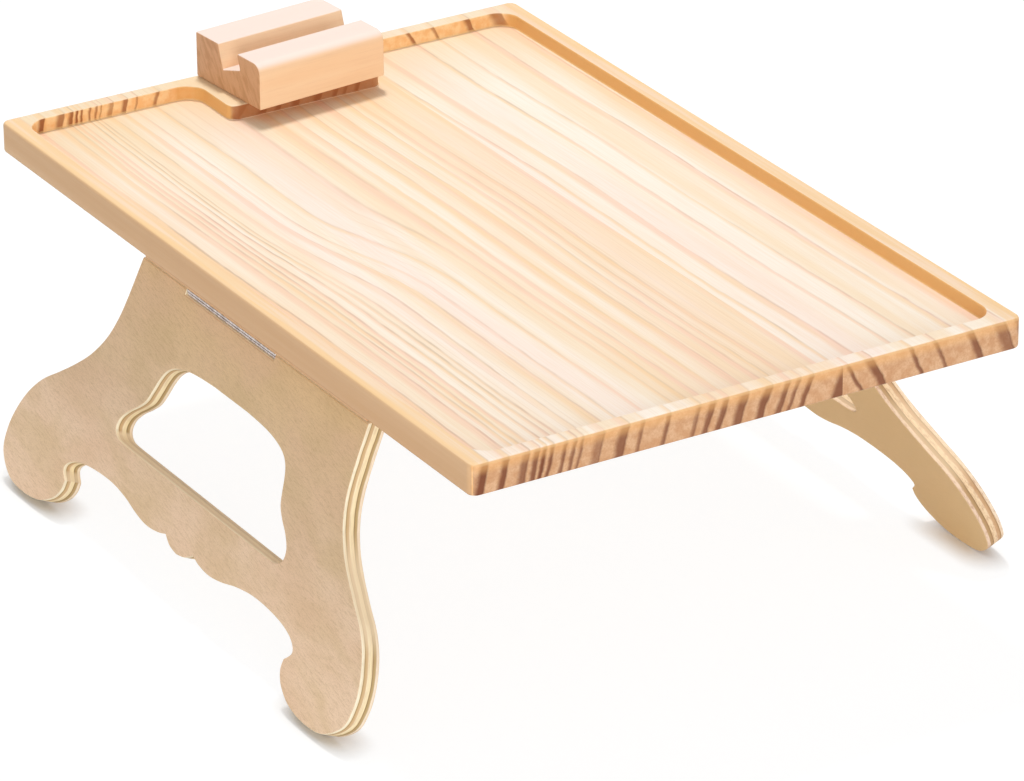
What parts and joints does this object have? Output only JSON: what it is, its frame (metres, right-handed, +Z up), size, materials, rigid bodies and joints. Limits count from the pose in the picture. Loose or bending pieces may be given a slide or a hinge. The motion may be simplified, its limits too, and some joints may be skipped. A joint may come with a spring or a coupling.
{
  "type": "sofa arm tray table",
  "caption": "Small wooden tray table on two fretwork plywood legs that fold in under the board, with a slotted swivelling phone holder at the back.",
  "frame": {"origin": "on the floor, under the middle of the whole table at rest, phone holder included", "axes": "+Z up, +Y along the board's length towards the phone holder at the back, +X to the right"},
  "size_m": [0.3292, 0.4042, 0.1633],
  "materials": {
    "pine": "planed and sanded pine, bare or with a clear matt coat",
    "plywood": "sanded plywood with its plies showing on the cut edges",
    "beech": "smooth sanded beech",
    "hinge_steel": "plated mild steel, slightly dulled",
    "zinc_plate": "zinc plated steel screws and washer"
  },
  "bodies": {
    "tray": {"tray_board": "pine", "left_hinge_rail": "pine", "left_rail_leaf": "hinge_steel", "left_hinge_pin": "hinge_steel", "left_rail_screw_1": "zinc_plate", "left_rail_screw_2": "zinc_plate", "left_rail_leaf_screw_1": "zinc_plate", "left_rail_leaf_screw_2": "zinc_plate", "left_rail_leaf_screw_3": "zinc_plate", "right_hinge_rail": "pine", "right_rail_leaf": "hinge_steel", "right_hinge_pin": "hinge_steel", "right_rail_screw_1": "zinc_plate", "right_rail_screw_2": "zinc_plate", "right_rail_leaf_screw_1": "zinc_plate", "right_rail_leaf_screw_2": "zinc_plate", "right_rail_leaf_screw_3": "zinc_plate"},
    "left_leg": {"left_leg_panel": "plywood", "left_leg_leaf": "hinge_steel", "left_leg_leaf_screw_1": "zinc_plate", "left_leg_leaf_screw_2": "zinc_plate", "left_leg_leaf_screw_3": "zinc_plate"},
    "right_leg": {"right_leg_panel": "plywood", "right_leg_leaf": "hinge_steel", "right_leg_leaf_screw_1": "zinc_plate", "right_leg_leaf_screw_2": "zinc_plate", "right_leg_leaf_screw_3": "zinc_plate"},
    "phone_holder": {"phone_holder_block": "beech", "holder_washer": "zinc_plate", "holder_pivot_screw": "zinc_plate"}
  },
  "joints": [
    {"name": "left_leg_fold", "type": "hinge", "parent": "tray", "child": "left_leg", "pos_m": [-0.10365, -0.00214, 0.11285], "axis": [0, -1, 0], "range_deg": [0, 121]},
    {"name": "right_leg_fold", "type": "hinge", "parent": "tray", "child": "right_leg", "pos_m": [0.10365, -0.00214, 0.11285], "axis": [0, 1, 0], "range_deg": [0, 113.5]},
    {"name": "phone_holder_swivel", "type": "hinge", "parent": "tray", "child": "phone_holder", "pos_m": [0.0015, 0.17436, 0.142], "axis": [0, 0, 1], "continuous": true}
  ]
}
